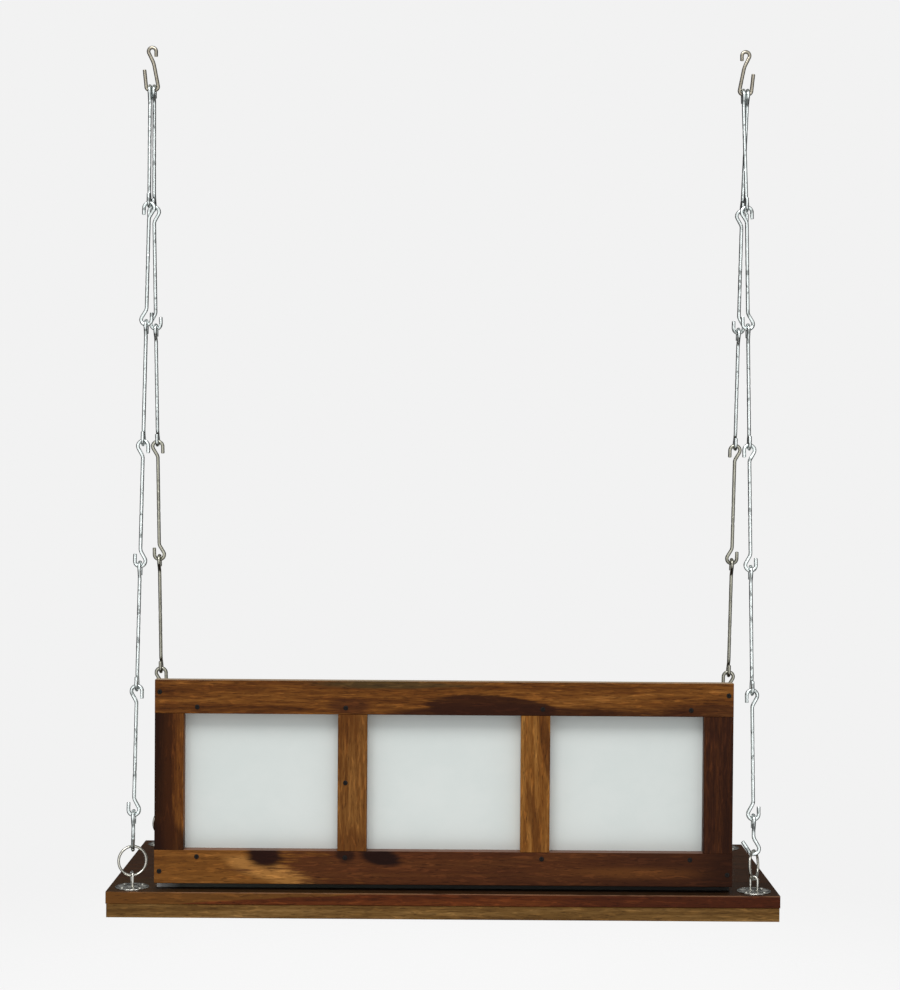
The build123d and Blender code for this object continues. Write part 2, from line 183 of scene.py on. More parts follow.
def hook_line(reach, tip, splay=0.0):
    """Centre line in the XY plane from mid-shank at the origin, through the neck and round the upper bend.

    The bend's centre line comes up to Y = reach. Its free end leans outwards by splay degrees.
    """
    neck, opening = math.radians(NECK_ANGLE), math.radians(splay)
    centre_y = reach - BEND_RADIUS
    neck_top = np.array([-BEND_RADIUS * math.cos(neck), centre_y - BEND_RADIUS * math.sin(neck)])
    corner_y = neck_top[1] + neck_top[0] / math.tan(neck)
    setback = NECK_RADIUS * math.tan(neck / 2)
    neck_end = (-setback * math.sin(neck), corner_y + setback * math.cos(neck))
    bend_end = np.array([BEND_RADIUS * math.cos(opening), centre_y + BEND_RADIUS * math.sin(opening)])
    tip_end = bend_end + tip * np.array([math.sin(opening), -math.cos(opening)])
    return np.concatenate([
        line((0, 0), (0, corner_y - setback)),
        arc((-NECK_RADIUS, corner_y - setback), NECK_RADIUS, 0, NECK_ANGLE),
        line(neck_end, neck_top),
        arc((0, centre_y), BEND_RADIUS, 180 + NECK_ANGLE, splay - 180 - NECK_ANGLE),
        cut_end(bend_end, tip_end)])


def link_line(length, low_tip, low_splay=0.0, twist=0.0):
    """Centre line and side vectors of a link from its lower free end to its upper one.

    Mid-shank is at the origin, and the lower half is turned about the shank by twist degrees.
    """
    reach = (length - WIRE) / 2
    upper = hook_line(reach, BEND_TIP)
    lower = -hook_line(reach, low_tip, low_splay)[:0:-1]
    turn = math.radians(twist)
    centre = np.concatenate([
        np.stack([lower[:, 0] * math.cos(turn), lower[:, 1], -lower[:, 0] * math.sin(turn)], -1),
        np.pad(upper, ((0, 0), (0, 1)))])
    # The side vector turns from one half's plane to the other's along the straight shank.
    blend = np.clip(0.5 - centre[:, 1] / (0.4 * length), 0, 1) * turn
    return centre, np.stack([np.sin(blend), np.zeros_like(blend), np.cos(blend)], -1)


def unit(vector):
    """A vector of length one."""
    return np.array(vector, float) / np.linalg.norm(vector)


def touch(centre, radius, point):
    """The angle where a line from a point touches a circle, on the clockwise side seen from its centre."""
    away = np.subtract(point, centre)
    return math.degrees(math.atan2(away[1], away[0]) - math.acos(radius / np.linalg.norm(away)))


def on_circle(centre, radius, angle):
    """The point of a circle at an angle in degrees."""
    turn = math.radians(angle)
    return np.array(centre) + radius * np.array([math.cos(turn), math.sin(turn)])


def s_hook_line():
    """Centre line and side vectors of a top S-hook, whose shank crosses from its saddle to its upper bend.

    The shank is eased at its neck by a parabola: before * (1 - t)^2 + 2 * neck * t * (1 - t) + after * t^2.
    """
    reach = (TOP_LENGTH - WIRE) / 2
    half = PAIR_OFFSET + WIRE + SADDLE_ROOM - SADDLE_RADIUS
    upper = (0, reach - TOP_BEND_RADIUS)
    right, left = (half, SADDLE_RADIUS - reach), (-half, SADDLE_RADIUS - reach)
    neck = np.array(TOP_NECK)
    upper_angle, low_angle = touch(upper, TOP_BEND_RADIUS, neck), touch(right, SADDLE_RADIUS, neck)
    upper_touch = on_circle(upper, TOP_BEND_RADIUS, upper_angle)
    low_touch = on_circle(right, SADDLE_RADIUS, low_angle)
    tip_start = np.array([TOP_BEND_RADIUS, upper[1]])
    tip_end = tip_start - (0, TOP_BEND_TIP)
    open_start = on_circle(left, SADDLE_RADIUS, SADDLE_SPLAY - 180)
    opening = math.radians(SADDLE_SPLAY)
    open_end = open_start + SADDLE_TIP * np.array([-math.sin(opening), math.cos(opening)])
    ease = 0.006
    before, after = neck + ease * unit(upper_touch - neck), neck + ease * unit(low_touch - neck)
    t = np.linspace(0, 1, 9)[:-1, None]
    centre = np.concatenate([
        cut_end(tip_start, tip_end)[::-1],
        arc(upper, TOP_BEND_RADIUS, 0, upper_angle % 360)[1:],
        line(upper_touch, before),
        before * (1 - t) ** 2 + 2 * neck * t * (1 - t) + after * t ** 2,
        line(after, low_touch),
        arc(right, SADDLE_RADIUS, low_angle, -90 - low_angle),
        line((half, -reach), (-half, -reach)),
        arc(left, SADDLE_RADIUS, -90, SADDLE_SPLAY - 90),
        cut_end(open_start, open_end)])
    centre = np.pad(centre, ((0, 0), (0, 1)))
    return centre, np.tile([0.0, 0.0, 1.0], (len(centre), 1))


def distances(centre):
    """Distance along a centre line of each of its points."""
    return np.concatenate([[0], np.cumsum(np.linalg.norm(np.diff(centre, axis=0), axis=1))])


def drawn_wire(centre, diameter, rng, dents=0):
    """Radius of drawn wire at each point and round each section.

    It is eased at both sheared ends, wavers by a hundredth, and carries tool dents along mid-shank. Each dent
    takes off a share of depth * exp(-(distance / DENT_LENGTH)^2) * cos(t - facing)^2, t going round the wire.
    """
    along = distances(centre)
    left = np.minimum(along, along[-1] - along)
    nearness = np.clip(1 - left / SHEARED_LENGTH, 0, 1)
    radius = diameter / 2 * (1 - SHEARED_SHARE + SHEARED_SHARE * np.sqrt(1 - nearness ** 2))
    radius *= 1 + 0.012 * np.sin(along * rng.uniform(180, 320) + rng.uniform(0, 6))
    radius = np.repeat(radius[:, None], WIRE_SIDES, 1)
    turn = np.linspace(0, 2 * np.pi, WIRE_SIDES, endpoint=False)
    for i in range(dents):
        spot = along[-1] / 2 + (i - (dents - 1) / 2) * DENT_SPACING + rng.uniform(-0.003, 0.003)
        facing = rng.uniform(0, np.pi)
        depth = rng.uniform(0.08, 0.18)
        bite = np.exp(-((along - spot) / DENT_LENGTH) ** 2)[:, None]
        radius *= 1 - depth * bite * np.cos(turn - facing)[None] ** 2
    return radius


def stand(points, origin, along, across):
    """Points moved so that their Y runs along a chain, their X across it, from an origin."""
    return np.array(origin) + points @ np.stack([across, along, np.cross(across, along)])


def turned_about(vector, axis, degrees):
    """A vector turned about an axis through the origin."""
    return np.array(Matrix.Rotation(math.radians(degrees), 3, axis.tolist())) @ vector


# ---------------------------------------------------------------- shader sums
class Sum:
    """A shader value that can be written in ordinary sums."""

    def __init__(self, finish, socket):
        self.finish, self.socket = finish, socket

    def maths(self, operation, *values):
        """The result of a maths node."""
        return self.finish.node("ShaderNodeMath", {"operation": operation}, dict(enumerate(values)))

    def __add__(self, other):
        return self.maths("ADD", self, other)

    def __radd__(self, other):
        return self.maths("ADD", other, self)

    def __sub__(self, other):
        return self.maths("SUBTRACT", self, other)

    def __rsub__(self, other):
        return self.maths("SUBTRACT", other, self)

    def __mul__(self, other):
        return self.maths("MULTIPLY", self, other)

    def __truediv__(self, other):
        return self.maths("DIVIDE", self, other)

    def __pow__(self, other):
        return self.maths("POWER", self, other)

    def sine(self):
        """The sine of the value in radians."""
        return self.maths("SINE", self)

    def step(self, low, high):
        """0 below low, 1 above high, smooth between; with low above high, the other way round."""
        ends = (high, low, 1.0, 0.0) if low > high else (low, high, 0.0, 1.0)
        settings = {"interpolation_type": "SMOOTHSTEP"}
        return self.finish.node("ShaderNodeMapRange", settings, dict(enumerate((self, *ends))))


def paint(red, green, blue):
    """A colour given as 0 to 255 screen values, as the shader's linear ones."""
    linear = [c / 255 / 12.92 if c <= 10 else ((c / 255 + 0.055) / 1.055) ** 2.4 for c in (red, green, blue)]
    return (*linear, 1.0)


class Finish:
    """A material with one method that adds any node, and the ones for colours and noise that use it."""

    def __init__(self, name, **constants):
        self.material = bpy.data.materials.new(name)
        self.material.use_nodes = True
        self.tree = self.material.node_tree
        self.shader = self.tree.nodes["Principled BSDF"]
        for socket, value in constants.items():
            self.shader.inputs[socket.replace("_", " ")].default_value = value

    def node(self, kind, settings=None, inputs=None, out=0, stops=None):
        """Adds a node, makes its settings, then gives its sockets their values or links."""
        node = self.tree.nodes.new(kind)
        for name, value in (settings or {}).items():
            setattr(node, name, value)
        if stops:
            elements = node.color_ramp.elements
            while len(elements) < len(stops):
                elements.new(0.5)
            for element, (position, colour) in zip(elements, stops):
                element.position, element.color = position, colour
        for name, value in (inputs or {}).items():
            if isinstance(value, Sum):
                self.tree.links.new(value.socket, node.inputs[name])
            else:
                node.inputs[name].default_value = value
        return Sum(self, node.outputs[out])

    def feed(self, name, value):
        """Links a value to a socket of the surface shader."""
        self.tree.links.new(value.socket, self.shader.inputs[name])

    def mix(self, first, second, share):
        """A colour between two others."""
        return self.node("ShaderNodeMix", {"data_type": "RGBA"}, {0: share, 6: first, 7: second}, out=2)

    def ramp(self, value, *stops):
        """A colour read from a ramp."""
        return self.node("ShaderNodeValToRGB", {}, {0: value}, stops=stops)

    def point(self):
        """The point on the piece, in metres."""
        return self.node("ShaderNodeTexCoord", out="Object")

    def parts(self, vector):
        """The three parts of a vector."""
        apart = self.node("ShaderNodeSeparateXYZ", {}, {0: vector}).socket.node
        return [Sum(self, output) for output in apart.outputs]

    def scaled(self, vector, scale, offset=(0, 0, 0)):
        """A vector stretched along each axis and moved."""
        return self.node("ShaderNodeMapping", {}, {"Vector": vector, "Scale": scale, "Location": offset})

    def noise(self, vector, detail=3.0, roughness=0.55, distortion=0.0):
        """Cloudy noise from about 0.3 to 0.7, its clouds one unit apart."""
        return self.node("ShaderNodeTexNoise", {}, {"Vector": vector, "Scale": 1.0, "Detail": detail,
                                                    "Roughness": roughness, "Distortion": distortion})

    def bump(self, height, distance, strength=1.0):
        """Raises the surface by a height."""
        self.feed("Normal", self.node("ShaderNodeBump", {}, {"Height": height, "Distance": distance,
                                                             "Strength": strength}))


# ---------------------------------------------------------------- finishes
def wood(name, grain, stops, seed, figures=(), edge_highlight=None, top=None):
    """Oiled sheesham: colour bands, bent growth lines, fibres and pores along the grain, and named figures.

    grain   axis that the grain runs along: 0 for X, 1 for Y, 2 for Z
    stops   ramp colours from the darkest streak to the lightest
    figures (x, z, half width, half height, softness, slant, colour, strength) of each, over the points where
            ((dx + dz * slant) / half width)^2 + (dz / half height)^2 < 1, its edge broken by the grain
    wear    (y, z, width, colour) of an upper rear edge given a painted highlight, broken up by the grain
    top     (z, colour, strength) of an upper face given painted light: a painted highlight on the rails' tops, painted shade on the seat's top
    """
    f = Finish(name, Specular_IOR_Level=0.05, Coat_Weight=0.02, Coat_Roughness=0.2)
    at = f.point()
    x, y, z = f.parts(at)
    across = {0: y + z, 1: x + z, 2: x + y}[grain]
    # Noise is drawn out sixteen times along the grain, or by a power of that.
    stretch = tuple(1 if axis == grain else 16 for axis in range(3))
    shift = (seed * 3.7, seed * 1.3, seed * 2.1)

    def streaks(fineness, power, *settings):
        return f.noise(f.scaled(at, tuple(fineness * s ** power for s in stretch), shift), *settings)

    flow = streaks(3.5, 0.4, 2.0)
    broad = streaks(2.2, 1.0, 3.0, 0.5, 0.9)
    fine = streaks(9.0, 1.0, 4.0, 0.65, 0.5)
    fibre = streaks(38.0, 1.1, 2.0, 0.6)
    pores = streaks(60.0, 0.9, 2.0, 0.5)
    flecks = streaks(30.0, 0.6, 2.0, 0.6, 0.6)
    # Growth lines about a centimetre apart, bent by the flow.
    lines = (across * 620.0 + flow * 26.0).sine()
    tone = (broad - 0.5) * 1.3 + (fine - 0.5) * 0.55 + (fibre - 0.5) * 0.85 + lines * 0.06 + 0.5
    colour = f.ramp(tone, *stops)
    for px, pz, half_x, half_z, softness, slant, shade, strength in figures:
        up = z - pz
        reach = (((x - px + up * slant) / half_x) ** 2 + (up / half_z) ** 2) ** 0.5
        edge = reach + (flow - 0.5) * 1.5 + (fine - 0.5) * 0.6 + (fibre - 0.5) * 0.3
        colour = f.mix(colour, paint(*shade), edge.step(1 + softness, 1 - softness) * strength)
    lift = flecks.step(0.54, 0.66) * 0.8
    colour = f.mix(colour, f.node("ShaderNodeHueSaturation", {}, {"Color": colour, "Value": 1.55}), lift)
    open_pores = pores.step(0.58, 0.68)
    colour = f.mix(colour, paint(30, 14, 8), open_pores * 0.5)
    # Painted light on the upper face: its colour stands in for how light falls on it.
    if top:
        height, shade, strength = top
        colour = f.mix(colour, paint(*shade), z.step(height - 0.0004, height - 0.0001) * strength)
    # Painted highlight along the upper rear edge, broken up by the grain.
    if edge_highlight:
        edge_y, edge_z, width, shade = edge_highlight
        edge_glint = (z - y).step(edge_z - edge_y - 2 * width, edge_z - edge_y - width) * fine.step(0.35, 0.5)
        colour = f.mix(colour, paint(*shade), edge_glint * 0.6)
    f.feed("Base Color", colour)
    f.feed("Roughness", 0.42 + (fine - 0.5) * 0.25 + open_pores * 0.2)
    f.bump(fine * 0.4 - open_pores, 0.00012, 0.5)
    return f.material


def plated(name, colour, roughness, spots, marks=0.0):
    """Bright plated steel, barely uneven, with duller spots where it was handled and dark tool marks."""
    f = Finish(name, Metallic=1.0)
    at = f.point()
    dull = f.noise(f.scaled(at, (60, 60, 40)), 3.0, 0.6)
    dimple = f.noise(f.scaled(at, (260, 260, 150)), 2.0)
    shade = f.mix(paint(*colour), paint(*(c * 0.72 for c in colour)), dull.step(0.45, 0.7) * spots)
    if marks:
        marked = f.noise(f.scaled(at, (105, 105, 95)), 1.0, 0.5).step(0.58, 0.68)
        shade = f.mix(shade, paint(60, 64, 62), marked * marks)
    f.feed("Base Color", shade)
    f.feed("Roughness", roughness + (dull - 0.4) * 0.25)
    f.bump(dimple, 0.0004, 0.025)
    return f.material


def black_steel():
    """Black phosphated steel of the screws, worn at its edges."""
    f = Finish("black phosphate", Metallic=0.1, Specular_IOR_Level=0.15)
    worn = f.noise(f.scaled(f.point(), (700, 700, 700)), 3.0).step(0.5, 0.75)
    f.feed("Base Color", f.mix(paint(11, 8, 7), paint(54, 46, 39), worn * 0.5))
    f.feed("Roughness", 0.42 + worn * 0.2)
    return f.material


def board_paint(name, low):
    """Matt white paint over fine board. The foot, below low, has a painted highlight at its left end and
    painted shade beyond.
    """
    f = Finish(name, Specular_IOR_Level=0.3)
    at = f.point()
    x, _, z = f.parts(at)
    mottle = f.noise(f.scaled(at, (7, 7, 9)), 4.0, 0.6)
    brush = f.noise(f.scaled(at, (500, 500, 30)), 2.0)
    white = f.mix(paint(223, 230, 227), paint(227, 233, 230), mottle.step(0.35, 0.65))
    # Painted light on the foot in the shadow under the rail: a painted highlight at its left end, painted
    # shade deepening to the right.
    foot = f.ramp(x + 0.55, (0.03, paint(238, 240, 240)), (0.045, paint(200, 204, 202)),
                  (0.07, paint(92, 96, 88)), (0.3, paint(52, 54, 47)), (1.0, paint(24, 21, 18)))
    f.feed("Base Color", f.mix(white, foot, z.step(low + 0.0004, low - 0.0004)))
    f.feed("Roughness", 0.6 + (mottle - 0.5) * 0.2)
    f.bump(brush, 0.0001, 0.3)
    return f.material


def cotton():
    """Undyed white cotton duck: over and under threads a little over a millimetre apart, with slubs."""
    f = Finish("white cotton", Sheen_Weight=0.15)
    at = f.point()
    x, _, z = f.parts(at)
    warp, weft = (x * 4200.0).sine(), (z * 4200.0).sine()
    slub = f.noise(f.scaled(at, (60, 60, 500)), 3.0)
    weave = warp * weft
    cloudy = f.noise(f.scaled(at, (7, 7, 7)), 3.0)
    bleached = (weave * 0.2 + cloudy).step(0.2, 0.8)
    f.feed("Base Color", f.mix(paint(230, 229, 225), paint(240, 239, 236), bleached))
    f.feed("Roughness", 0.82 + slub * 0.1)
    f.bump(weave * 0.5 + slub, 0.0003, 0.6)
    return f.material


DARK, HEART = (27, 9, 4), (46, 22, 12)
RAIL_STOPS = ((0.0, paint(54, 26, 10)), (0.35, paint(92, 52, 20)), (0.6, paint(120, 74, 30)),
              (1.0, paint(160, 108, 54)))
MID_STOPS = ((0.0, paint(60, 31, 12)), (0.4, paint(100, 60, 24)), (1.0, paint(146, 100, 50)))
DARK_STOPS = ((0.0, paint(28, 13, 8)), (0.45, paint(52, 26, 14)), (1.0, paint(86, 48, 22)))
GOLD_STOPS = ((0.0, paint(70, 38, 14)), (0.4, paint(118, 72, 28)), (1.0, paint(172, 122, 62)))
SEAT_STOPS = ((0.0, paint(54, 24, 10)), (0.5, paint(88, 42, 18)), (1.0, paint(116, 64, 28)))
RIM_STOPS = ((0.0, paint(66, 42, 18)), (0.5, paint(106, 76, 38)), (1.0, paint(146, 112, 66)))

HOOK_STEEL = plated("zinc plated hook wire", (218, 225, 224), 0.16, 0.4, 0.6)
AGED_STEEL = plated("aged hook wire", (168, 167, 154), 0.2, 0.7)
DULL_STEEL = plated("dulled top hook wire", (158, 152, 138), 0.16, 0.7)
BRIGHT_STEEL = plated("polished ring", (184, 182, 173), 0.16, 0.6)
PRESSED_STEEL = plated("pressed plate", (204, 203, 195), 0.14, 0.9)
BLACK_STEEL = black_steel()

# Painted shade: the seat planks' top faces are darkened to stand in for their shading.
SEAT_TOP_SHADE = (SEAT_TOP, (38, 27, 15), 0.85)
WOODS = {
    "back_rail_top": wood("top rail", 0, RAIL_STOPS, 1, (
        (0.15, 0.366, 0.28, 0.020, 0.2, 0.0, HEART, 0.85),
        (0.10, 0.378, 0.115, 0.023, 0.12, 1.2, HEART, 0.9),
        (-0.10, 0.423, 0.13, 0.006, 0.5, 0.0, (70, 58, 34), 0.75),
        (-0.172, 0.382, 0.036, 0.013, 0.35, 0.0, (66, 34, 18), 0.75),
        (0.50, 0.375, 0.1, 0.014, 0.5, 0.0, (58, 28, 14), 0.8)),
        # Painted highlight on the top rail's upper face.
        top=(FRAME_TOP, (150, 134, 112), 0.8)),
    "back_rail_bottom": wood("bottom rail", 0, RAIL_STOPS, 2, (
        (-0.40, 0.085, 0.19, 0.05, 0.5, 0.0, (122, 78, 32), 0.5),
        (-0.315, 0.083, 0.050, 0.030, 0.3, 2.2, (172, 120, 62), 0.8),
        (0.42, 0.09, 0.71, 0.09, 0.06, 2.3, (74, 38, 20), 0.85),
        (0.60, 0.09, 0.42, 0.09, 0.6, 0.0, (48, 24, 14), 0.7),
        (0.33, 0.084, 0.12, 0.010, 0.7, 1.0, (116, 70, 32), 0.5),
        (0.54, 0.09, 0.07, 0.07, 0.5, 0.0, DARK, 0.6),
        (-0.325, 0.111, 0.034, 0.022, 0.3, 0.3, (34, 14, 8), 1.0),
        (-0.178, 0.113, 0.018, 0.013, 0.3, 0.0, (32, 15, 10), 0.85),
        (-0.115, 0.111, 0.034, 0.018, 0.3, 1.0, (30, 13, 8), 1.0)),
        # Painted highlight on the bottom rail's upper face.
        top=(FRAME_BOTTOM + RAIL_HEIGHT, (128, 98, 84), 0.6)),
    "back_stile_left": wood("left stile", 2, RAIL_STOPS, 3, (
        (-0.52, 0.25, 0.030, 0.4, 0.15, 0.0, DARK, 0.95),
        (-0.5, 0.13, 0.05, 0.035, 0.4, 0.0, DARK, 0.85),
        (-0.49, 0.25, 0.02, 0.2, 0.5, 0.0, (80, 42, 16), 0.4))),
    "back_stile_inner_left": wood("inner left stile", 2, MID_STOPS, 4, (
        (-0.17, 0.36, 0.03, 0.05, 0.6, 0.0, (86, 46, 16), 0.5),
        (-0.17, 0.13, 0.03, 0.03, 0.6, 0.0, (86, 46, 16), 0.6))),
    "back_stile_inner_right": wood("inner right stile", 2, GOLD_STOPS, 5, (
        (0.185, 0.32, 0.011, 0.08, 0.2, 0.14, (78, 42, 16), 0.75),
        (0.165, 0.17, 0.008, 0.07, 0.25, 0.14, (88, 50, 20), 0.6))),
    "back_stile_right": wood("right stile", 2, DARK_STOPS, 6, (
        (0.53, 0.15, 0.04, 0.16, 0.6, 0.0, DARK, 0.6),)),
    # The rear plank's edge is golden at its left end and redder beyond a long slanting tongue of heartwood.
    "seat_plank_1": wood("seat plank 1", 0, SEAT_STOPS, 7, (
        (-0.62, 0.036, 0.34, 0.06, 0.1, -18.0, (101, 65, 28), 0.9),
        (0.62, 0.035, 0.36, 0.06, 0.5, 0.0, (58, 25, 14), 0.75)),
        # The rear plank's upper rear edge gets a painted highlight.
        edge_highlight=(-SEAT_DEPTH / 2, SEAT_TOP, 0.0012, (132, 96, 70)), top=SEAT_TOP_SHADE),
}
for number in range(2, 5):
    WOODS[f"seat_plank_{number}"] = wood(f"seat plank {number}", 0, SEAT_STOPS, 6 + number, top=SEAT_TOP_SHADE)
for number, (part, axis) in enumerate((("rear", 0), ("front", 0), ("left", 1), ("right", 1))):
    WOODS[f"seat_rim_{part}"] = wood(f"{part} edging", axis, RIM_STOPS, 12 + number)
WOODS["seat_battens"] = wood("battens", 1, RIM_STOPS, 16)


def dress(node, finish):
    """Gives a CAD node its finish."""
    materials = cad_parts[node].data.materials
    materials.clear()
    materials.append(finish)


for node, finish in WOODS.items():
    dress(node, finish)
dress("back_board", board_paint("white board", FRAME_BOTTOM - FOOT_DROP))
dress("board_screws", BLACK_STEEL)


# ---------------------------------------------------------------- chains
Z_AXIS, X_AXIS = np.array([0.0, 0.0, 1.0]), np.array([1.0, 0.0, 0.0])


def hang(name, centre, side, dents, body, at, along, across, finish):
    """One wire piece, its middle at a point, its shank along the chain and its upper tip across from it."""
    rng = np.random.default_rng(sum(map(ord, name)))
    points, faces = tube(centre, side, drawn_wire(centre, WIRE, rng, dents))
    return place(f"{name}_wire", stand(points, at, along, across), faces, body, finish, [name])


def ring_points():
    """Points and faces of a closed ring: a circle of wire, a little fatter at its weld.

    The wire's radius is RING_WIRE / 2 * (1 + WELD_SHARE * exp(-((t - WELD_TURN) / WELD_WIDTH)^2)) at turn t.
    """
    turn = np.linspace(0, 2 * np.pi, RING_SECTIONS, endpoint=False)[:, None]
    round_wire = np.linspace(0, 2 * np.pi, WIRE_SIDES, endpoint=False)[None]
    weld = 1 + WELD_SHARE * np.exp(-((turn - WELD_TURN) / WELD_WIDTH) ** 2)
    out = (RING_DIAMETER - RING_WIRE) / 2 + RING_WIRE / 2 * weld * np.cos(round_wire)
    grid = np.stack([out * np.cos(turn), out * np.sin(turn), RING_WIRE / 2 * weld * np.sin(round_wire)], -1)
    return grid.reshape(-1, 3), [face[::-1] for face in skin(RING_SECTIONS, WIRE_SIDES, closed=True)]


def chain(side, end):
    """One chain from its first rod in the saddle down to the ring in the eye."""
    sign, y_sign = SIDES[side], ENDS[end]
    eye = np.array([sign * PLATE_X, y_sign * PLATE_Y, EYE_Z])
    saddle = np.array([sign * PLATE_X, 0, SADDLE_Z])
    along = unit(saddle - eye)
    fore_aft = np.cross(along, X_AXIS)
    rod, rod_side = link_line(ROD_LENGTH, BEND_TIP)

    joint = saddle - along * (ROD_RISE + HOOKED)
    lean = unit(saddle + X_AXIS * y_sign * PAIR_OFFSET - joint)
    middle = joint + lean * (HOOKED + (ROD_LENGTH - WIRE) / 2)
    hang(f"rod_{end}_{side}_1", rod, rod_side, ROD_DENTS, "upper_rods", middle, lean,
         unit(np.cross(lean, X_AXIS)), HOOK_STEEL)
    for number in range(2, ROD_COUNT + 1):
        low = SHORT_HIGH - HOOKED + (ROD_COUNT - number) * ROD_RISE
        middle = eye + along * (low + (ROD_LENGTH - WIRE) / 2)
        # Rods are turned a quarter by turns. The even ones' upper tips point inward, but the second's outward.
        across = fore_aft if number % 2 else X_AXIS * (sign if number == 2 else -sign)
        # The lower rods of the front chains have lost their shine.
        finish = AGED_STEEL if end == "front" and number > 3 else HOOK_STEEL
        hang(f"rod_{end}_{side}_{number}", rod, rod_side, ROD_DENTS, f"{side}_chains", middle, along,
             across, finish)

    short, short_side = link_line(SHORT_LENGTH, SHORT_TIP, SHORT_SPLAY, SHORT_TWIST[end, side])
    middle = eye + along * ((SHORT_LOW + SHORT_HIGH) / 2)
    hang(f"short_hook_{end}_{side}", short, short_side, 0, f"{side}_chains", middle, along, fore_aft,
         HOOK_STEEL)
    across = turned_about(X_AXIS, along, RING_TURN[end, side])
    points, faces = ring_points()
    place(f"ring_{end}_{side}_wire", stand(points, eye + along * RING_MIDDLE, along, across), faces,
          f"{side}_chains", BRIGHT_STEEL, [f"ring_{end}_{side}"])


def pan_head():
    """Points and faces of a domed screw head with a cross recess, standing on the origin.

    Its height is HEAD_DOME * (1.35 - 0.75 * reach^2), with reach 0 in the middle and 1 at the rim. The recess
    is cut RECESS_DEPTH into it, in two arms about RECESS_WIDTH to each side of X and Y.
    """
    turn = np.linspace(0, 2 * np.pi, HEAD_SIDES, endpoint=False)
    reach = np.array([1.0, 1.0, 0.97, 0.9, 0.8, 0.7, 0.6, 0.5, 0.42, 0.34, 0.26, 0.18, 0.1])[:, None]
    x, y = HEAD_RADIUS * reach * np.cos(turn), HEAD_RADIUS * reach * np.sin(turn)
    dome = HEAD_DOME * (1.35 - 0.75 * reach ** 2)
    off_arm = np.minimum(np.abs(x), np.abs(y))
    arm = np.exp(-(off_arm / RECESS_WIDTH) ** 4) * np.clip((0.58 - reach) / 0.1, 0, 1)
    height = dome - RECESS_DEPTH * arm
    height[0] = HEAD_BED
    grid = np.stack([x, y, height], -1).reshape(-1, 3)
    poles = np.array([[0, 0, HEAD_BED], [0, 0, dome[-1, 0] - RECESS_DEPTH]])
    return np.concatenate([grid, poles]), skin(len(reach), HEAD_SIDES)


def heads(name, places, body, finish, node):
    """All the heads of one screw group. Each place is (middle, across, up)."""
    points, faces, all_points, all_faces = *pan_head(), [], []
    for middle, across, up in places:
        rows = np.stack([across, np.cross(up, across), up])
        all_faces += [[v + len(points) * len(all_points) for v in face] for face in faces]
        all_points.append(np.array(middle) + points @ rows)
    return place(name, np.concatenate(all_points), all_faces, body, finish, [node])


def eye_plate(side, end):
    """A pressed plate with a beaded rim and petals, and its upright wire eye.

    Its height is PLATE_THICKNESS * (profile + PETAL_RISE * petal) at a share of its radius, the reach, with
    petal = exp(-((reach - PETAL_REACH) / PETAL_WIDTH)^2) * cos(PETALS * t). The rim has twice as many
    scallops, and the eye's wire wavers by three hundredths.
    """
    x, y = SIDES[side] * PLATE_X, ENDS[end] * PLATE_Y
    bed, root, crown = 0.0001, 0.0015, 1.6
    turn = np.linspace(0, 2 * np.pi, PLATE_SECTIONS, endpoint=False)
    profile = np.array([
        (1.0, 0.0), (1.0, 0.35), (0.985, 0.62), (0.95, 0.78), (0.9, 0.8), (0.85, 0.72), (0.8, 0.7),
        (0.72, 0.78), (0.64, 0.86), (0.56, 0.9), (0.48, 0.92), (0.4, 1.0), (0.34, 1.25), (0.3, 1.45),
        (0.24, 1.55), (0.16, crown), (0.08, crown)])
    reach, height = profile[:, :1], profile[:, 1:]
    petal = np.exp(-((reach - PETAL_REACH) / PETAL_WIDTH) ** 2) * np.cos(PETALS * turn)[None]
    rise = PLATE_THICKNESS * (height + PETAL_RISE * petal)
    rise[0] = bed
    scallop = 1 - 0.012 * (reach > 0.9) * np.cos(2 * PETALS * turn)[None]
    out = PLATE_RADIUS * reach * scallop
    grid = np.stack([out * np.cos(turn), out * np.sin(turn), rise], -1).reshape(-1, 3)
    points = np.concatenate([grid, [[0, 0, bed]], [[0, 0, PLATE_THICKNESS * crown]]])
    faces = skin(len(profile), PLATE_SECTIONS)

    shoulder = EYE_HEIGHT - EYE_WIRE / 2 - EYE_RADIUS
    loop = np.concatenate([line((EYE_RADIUS, root), (EYE_RADIUS, shoulder)),
                           arc((0, shoulder), EYE_RADIUS, 0, 180),
                           line((-EYE_RADIUS, shoulder), (-EYE_RADIUS, root))])
    centre = np.stack([loop[:, 0], np.zeros(len(loop)), loop[:, 1]], -1)
    waver = EYE_WIRE / 2 * (1 + 0.03 * np.sin(distances(centre) * 900))
    wire, wire_faces = tube(centre, np.tile([0.0, -1.0, 0.0], (len(centre), 1)), waver)
    faces += [[v + len(points) for v in face] for face in wire_faces]
    points = np.concatenate([points, wire])
    placed = np.array([x, y, SEAT_TOP]) + points @ np.array(
        Matrix.Rotation(math.radians(90 + EYE_TURN[end, side]), 3, "Z")).T
    place(f"eye_plate_{end}_{side}_pressed", placed, faces, "seat", PRESSED_STEEL,
          [f"eye_plate_{end}_{side}"])


